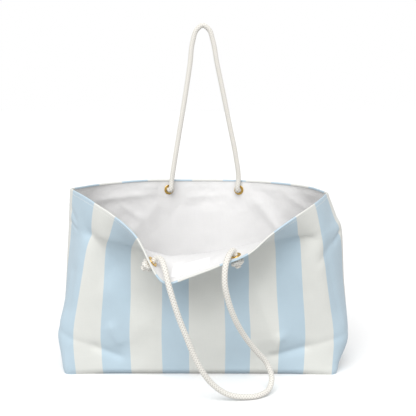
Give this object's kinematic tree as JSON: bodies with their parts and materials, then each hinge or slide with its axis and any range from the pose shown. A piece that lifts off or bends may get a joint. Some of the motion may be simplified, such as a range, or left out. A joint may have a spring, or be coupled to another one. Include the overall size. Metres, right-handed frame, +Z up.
{
  "type": "weekender bag",
  "caption": "Open-top striped canvas weekender bag with a boxed base, a light lining, brass eyelets and knotted rope handles; the front panel has slumped into a flap.",
  "frame": {"origin": "middle of the base, on the face the bag stands on", "axes": "+X along the bag, to the right for someone facing the front; +Y from the front panel to the back panel; +Z up"},
  "size_m": [0.499, 0.351, 0.6034],
  "materials": {
    "striped_canvas": "matt woven, pale blue and cream stripes",
    "lining_cotton": "matt woven, off-white",
    "label_tape": "matt woven, off-white",
    "brass": "polished",
    "cotton_rope": "matt, braided cotton"
  },
  "bodies": {
    "bag": {"outer_front": "striped_canvas", "outer_back": "striped_canvas", "lining_front": "lining_cotton", "lining_back": "lining_cotton", "label": "label_tape", "eyelet_front_left": "brass", "eyelet_front_right": "brass", "eyelet_back_left": "brass", "eyelet_back_right": "brass", "washer_front_left": "brass", "washer_front_right": "brass", "washer_back_left": "brass", "washer_back_right": "brass", "knot_front_left": "cotton_rope", "knot_front_right": "cotton_rope", "knot_back_left": "cotton_rope", "knot_back_right": "cotton_rope"},
    "front_handle": {"rope_front": "cotton_rope"},
    "back_handle": {"rope_back": "cotton_rope"}
  },
  "joints": [
    {"name": "front_handle_swing", "type": "hinge", "parent": "bag", "child": "front_handle", "pos_m": [-0.0045, -0.19175, 0.23275], "axis": [-0.9941, 0.0212, -0.1062], "range_deg": [0, 150]},
    {"name": "back_handle_swing", "type": "hinge", "parent": "bag", "child": "back_handle", "pos_m": [0.0065, 0.083, 0.30025], "axis": [0.9883, 0.1514, -0.0199], "range_deg": [0, 85]}
  ]
}
